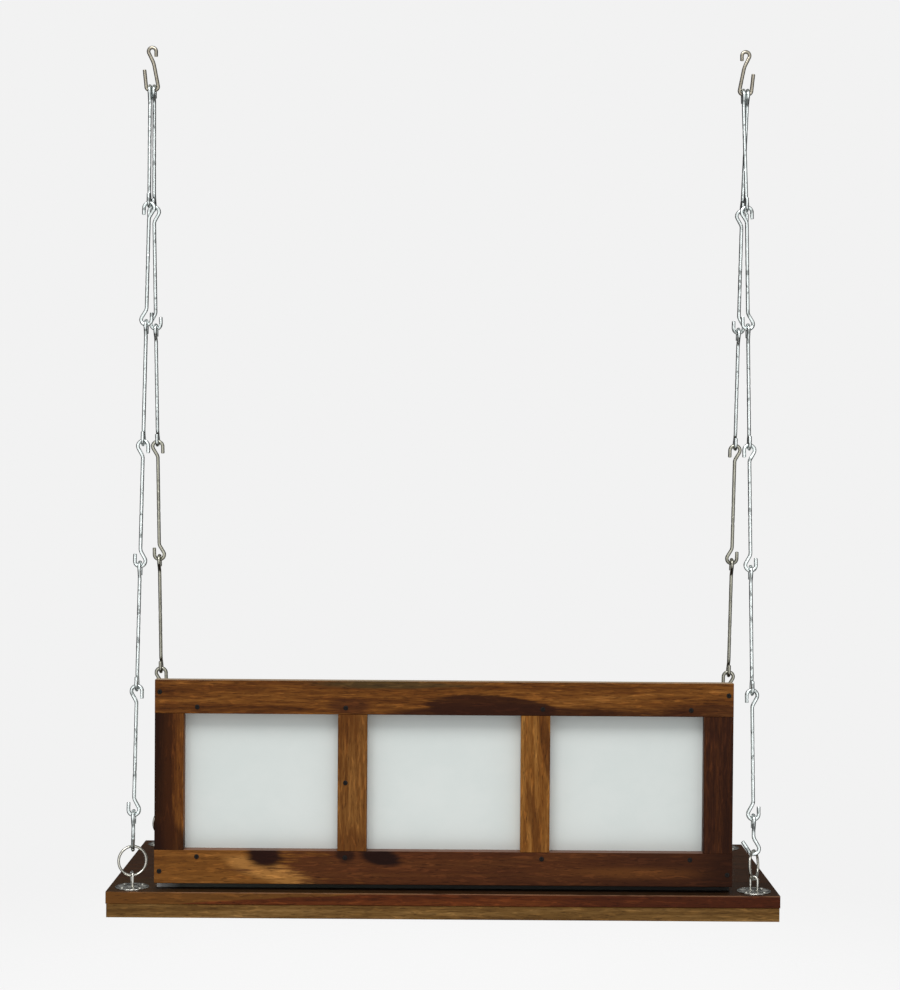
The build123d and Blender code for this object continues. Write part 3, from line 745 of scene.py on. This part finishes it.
plate_heads = []
for side, sign in SIDES.items():
    for end, y_sign in ENDS.items():
        chain(side, end)
        eye_plate(side, end)
        for i in range(PLATE_SCREWS):
            angle = math.radians(360 / PLATE_SCREWS * (i + 0.5))
            spot = np.array([sign * PLATE_X, y_sign * PLATE_Y, SEAT_TOP + PLATE_THICKNESS * 0.8])
            spot[:2] += PLATE_SCREW_CIRCLE / 2 * np.array([math.cos(angle), math.sin(angle)])
            # No two crosses stand alike.
            skew = angle + 0.9 * i + sign * 0.4 + y_sign * 0.7
            plate_heads.append((spot, np.array([math.cos(skew), math.sin(skew), 0.0]), Z_AXIS))
    centre, side_vectors = s_hook_line()
    middle = np.array([sign * PLATE_X, 0, SADDLE_Z + (TOP_LENGTH - WIRE) / 2])
    hang(f"top_hook_{side}", centre, side_vectors, 0, "top_hooks", middle, Z_AXIS, -sign * X_AXIS, DULL_STEEL)
heads("plate_screw_heads", plate_heads, "seat", PRESSED_STEEL, "plate_screws")


def frame_heads():
    """Places of the black screws in the back of the frame, as heads() takes them."""
    opening = (BACK_WIDTH - 4 * STILE_WIDTH) / 3
    corner = BACK_WIDTH / 2 - CORNER_INSET[0]
    corner_heights = FRAME_BOTTOM + CORNER_INSET[1], FRAME_TOP - CORNER_INSET[1]
    outer, inner = BACK_WIDTH / 2 - STILE_WIDTH - OUTER_INSET, opening / 2 + STILE_WIDTH - INNER_INSET
    low, high = FRAME_BOTTOM + RAIL_HEIGHT, FRAME_TOP - RAIL_HEIGHT
    end_heights = low - RAIL_INSET, high + RAIL_INSET
    corners = [(s * corner, z) for s in (-1, 1) for z in corner_heights]
    ends = [(s * x, z) for s in (-1, 1) for x in (outer, inner) for z in end_heights]
    places = []
    for x, z in corners + ends + [(-inner, (low + high) / 2)]:
        skew = 7 * x + z
        across = np.array([math.cos(skew), 0.0, math.sin(skew)])
        places.append((np.array([x, FRAME_REAR, z]), across, np.array([0.0, -1.0, 0.0])))
    return places


heads("frame_screw_heads", frame_heads(), "seat", BLACK_STEEL, "back_screws")


# ---------------------------------------------------------------- pad
PAD_START, PAD_BEVEL, PAD_VOXEL, PAD_SWELL, PAD_FRAMES = (0.008, 0.010, 0.008), 0.006, 0.006, 0.0095, 20
PIPING_RADIUS, PIPING_CORNER, PIPING_OUT, PIPING_SIDES = 0.0028, 0.012, 0.0015, 12


def slab(low, high, bevel):
    """The mesh of a block with rounded edges, remeshed into even quads."""
    mesh = bpy.data.meshes.new("slab")
    corners = [(x, y, z) for x in (low[0], high[0]) for y in (low[1], high[1]) for z in (low[2], high[2])]
    faces = [(0, 1, 3, 2), (4, 6, 7, 5), (0, 4, 5, 1), (2, 3, 7, 6), (0, 2, 6, 4), (1, 5, 7, 3)]
    mesh.from_pydata(corners, [], faces)
    rough = add("slab", mesh)
    rounding = rough.modifiers.new("round", "BEVEL")
    rounding.width, rounding.segments = bevel, 4
    even = rough.modifiers.new("even", "REMESH")
    even.mode, even.voxel_size = "VOXEL", PAD_VOXEL
    even.use_smooth_shade = True
    made = bpy.data.meshes.new_from_object(rough.evaluated_get(bpy.context.evaluated_depsgraph_get()))
    bpy.data.objects.remove(rough)
    return made


def coordinates(mesh):
    """A mesh's points as rows."""
    flat = np.empty(len(mesh.vertices) * 3)
    mesh.vertices.foreach_get("co", flat)
    return flat.reshape(-1, 3)


def blown_up(piece, held):
    """Where a piece's points come to lie when it is blown up as cloth, the held ones kept in place."""
    group = piece.vertex_groups.new(name="held")
    group.add(np.flatnonzero(held).tolist(), 1.0, "REPLACE")
    cloth = piece.modifiers.new("cloth", "CLOTH")
    cloth.settings.quality = 5
    cloth.settings.use_pressure = True
    cloth.settings.uniform_pressure_force = 4.0
    cloth.settings.vertex_group_mass = "held"
    cloth.settings.effector_weights.gravity = 0.0
    cloth.collision_settings.use_collision = False
    cloth.point_cache.frame_start, cloth.point_cache.frame_end = 1, PAD_FRAMES
    scene = bpy.context.scene
    for number in range(1, PAD_FRAMES + 1):
        scene.frame_set(number)
    swollen = coordinates(piece.evaluated_get(bpy.context.evaluated_depsgraph_get()).to_mesh()).copy()
    piece.modifiers.remove(cloth)
    piece.vertex_groups.remove(group)
    scene.frame_set(1)
    return swollen


def piping(board, low, high, finish):
    """A cotton cord against the board, round a rounded rectangle in X and Z between two corners of the pad.

    A point of it lies PIPING_RADIUS * cos(t) outside the loop, at Y = board + PIPING_RADIUS * (1 + sin(t)).
    """
    middle, reach = (low + high) / 2, (high - low) / 2 + PIPING_OUT - PIPING_CORNER
    centres = [middle[::2] + reach[::2] * sign for sign in ((1, 1), (-1, 1), (-1, -1), (1, -1))]
    loop = []
    for i, centre in enumerate(centres):
        start, end = (on_circle(c, PIPING_CORNER, 90 * (i + 1)) for c in (centre, centres[(i + 1) % 4]))
        loop += [arc(centre, PIPING_CORNER, 90 * i, 90, 0.002), line(start, end, 0.006)]
    loop = np.concatenate(loop)
    ahead = np.roll(loop, -1, 0) - np.roll(loop, 1, 0)
    ahead /= np.linalg.norm(ahead, axis=1, keepdims=True)
    outward = np.stack([ahead[:, 1], -ahead[:, 0]], -1)
    turn = np.linspace(0, 2 * np.pi, PIPING_SIDES, endpoint=False)
    flat = loop[:, None] + PIPING_RADIUS * np.cos(turn)[None, :, None] * outward[:, None]
    depth = np.broadcast_to(board + PIPING_RADIUS + PIPING_RADIUS * np.sin(turn), flat.shape[:2])
    grid = np.stack([flat[..., 0], depth, flat[..., 1]], -1)
    faces = skin(len(loop), PIPING_SIDES, closed=True)
    place("back_pad_piping", grid.reshape(-1, 3), faces, "seat", finish)


def pad():
    """A foam pad under stretched cotton, swollen by a cloth simulation and piped where it meets the board.

    The length m of each point's move is capped softly: it becomes PAD_SWELL * tanh(m / PAD_SWELL).
    """
    low, high = (np.array(corner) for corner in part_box("back_pad"))
    start_low, start_high = low + np.array(PAD_START) * (1, 0, 1), high - np.array(PAD_START)
    mesh = slab(start_low, start_high, PAD_BEVEL)
    mesh.name = "back_pad_cover"
    cotton_cover = cotton()
    mesh.materials.clear()
    mesh.materials.append(cotton_cover)
    cover = add("back_pad_cover", mesh)
    base = coordinates(mesh)
    held = base[:, 1] < start_low[1] + PAD_VOXEL / 2
    move = blown_up(cover, held) - base
    length = np.linalg.norm(move, axis=1, keepdims=True) + 1e-9
    settled = base + move / length * PAD_SWELL * np.tanh(length / PAD_SWELL)
    settled[held] = base[held]
    mesh.vertices.foreach_set("co", settled.ravel())
    mesh.update()
    shade_smooth(mesh)
    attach(cover, "seat")
    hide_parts("back_pad")
    softer = cover.modifiers.new("soft edges", "SUBSURF")
    softer.levels = softer.render_levels = 1
    piping(low[1], start_low, start_high, cotton_cover)


pad()


# ---------------------------------------------------------------- stage, light and camera
def floor():
    """A plain pale floor that fades into the background a few metres away, clear from below."""
    size, height, fade_start, fade_end = 12.0, -0.43, 1.0, 2.6
    f = Finish("pale floor", Base_Color=(0.12, 0.12, 0.12, 1.0), Roughness=1.0, Specular_IOR_Level=0.0,
               Emission_Color=(1.0, 1.0, 1.0, 1.0), Emission_Strength=0.80)
    x, y, _ = f.parts(f.point())
    below = f.node("ShaderNodeNewGeometry", out="Backfacing")
    f.feed("Alpha", ((x * x + y * y) ** 0.5).step(fade_end, fade_start) * (1 - below))
    mesh = bpy.data.meshes.new("floor")
    corners = [(sx * size, sy * size, height) for sx, sy in ((-1, -1), (1, -1), (1, 1), (-1, 1))]
    mesh.from_pydata(corners, [], [(0, 1, 2, 3)])
    mesh.materials.append(f.material)
    plane = add("floor", mesh)
    plane.visible_glossy = False


class Sky(Finish):
    """The world's shader, with the same methods as a finish."""

    def __init__(self, name):
        world = bpy.data.worlds.new(name)
        bpy.context.scene.world = world
        world.use_nodes = True
        self.tree = world.node_tree
        self.shader = self.tree.nodes["Background"]


def backdrop(seen):
    """A background of one brightness, with soft light from above and cards that the steel mirrors."""
    sky = Sky("studio")
    _, y, z = sky.parts(sky.node("ShaderNodeTexCoord", out="Generated"))
    soft = y.step(0.25, -0.35) * (z.step(0.0, 0.85) * 0.5 + 0.3) + y.step(0.0, 0.6) * 0.6 + 0.06
    rear_card, front_card = y.step(-0.25, -0.88) * 1.15, y.step(0.5, 0.95) * z.step(0.05, -0.1)
    cards = rear_card + front_card + z.step(0.1, 0.7) * 0.3 + 0.04
    eye_ray = sky.node("ShaderNodeLightPath", out="Is Camera Ray")
    glossy_ray = sky.node("ShaderNodeLightPath", out="Is Glossy Ray")
    sky.feed("Color", sky.mix(sky.mix(soft, cards, glossy_ray), (seen, seen, seen, 1.0), eye_ray))


def softbox(name, at, towards, size, power, lights=True, mirrored=True):
    """A rectangular soft light aimed at a point. It can be kept from lighting or from being mirrored."""
    light = bpy.data.lights.new(name, "AREA")
    light.shape, light.size, light.size_y, light.energy = "RECTANGLE", size[0], size[1], power
    lamp = add(name, light)
    lamp.location = at
    lamp.rotation_mode = "QUATERNION"
    lamp.rotation_quaternion = (Vector(at) - Vector(towards)).to_track_quat("Z", "Y")
    lamp.visible_diffuse, lamp.visible_glossy = lights, mirrored


def camera():
    """A camera behind the swing, a little above its middle. Its angles are in radians."""
    at, pitch, yaw, roll = (0.0045, -4.0362, 0.8384), 0.0187, 0.0008, 0.0072
    ahead = np.array([math.sin(yaw) * math.cos(pitch), math.cos(yaw) * math.cos(pitch), -math.sin(pitch)])
    level = np.array([math.cos(yaw), -math.sin(yaw), 0.0])
    upright = np.cross(level, ahead)
    right = math.cos(roll) * level + math.sin(roll) * upright
    above = -math.sin(roll) * level + math.cos(roll) * upright
    lens = bpy.data.cameras.new("camera")
    focal_pixels, picture_width, sensor = 2102.4, 900.0, 36.0
    # The picture is taller than it is wide, so the sensor's width has to be told to be its width.
    lens.sensor_fit = "HORIZONTAL"
    lens.sensor_width = sensor
    lens.lens = focal_pixels / picture_width * sensor
    lens.clip_start, lens.clip_end = 0.1, 200.0
    eye = add("camera", lens)
    turn = Matrix(np.stack([right, above, -ahead], 1).tolist()).to_4x4()
    eye.matrix_world = Matrix.Translation(at) @ turn
    bpy.context.scene.camera = eye


floor()
backdrop(0.888)
softbox("key", (-0.5, -2.8, 4.2), (0, 0, 0.3), (3.0, 1.8), 120)
softbox("strip left", (-2.3, -4.0, 1.1), (0, 0, 0.9), (0.35, 2.8), 10, lights=False)
softbox("strip right", (2.5, -3.9, 1.1), (0, 0, 0.9), (0.35, 2.8), 10, lights=False)
softbox("back", (0.5, 3.8, 3.4), (0, 0, 0.3), (3.0, 1.6), 100, mirrored=False)
camera()
bpy.context.scene.view_settings.view_transform = "Standard"
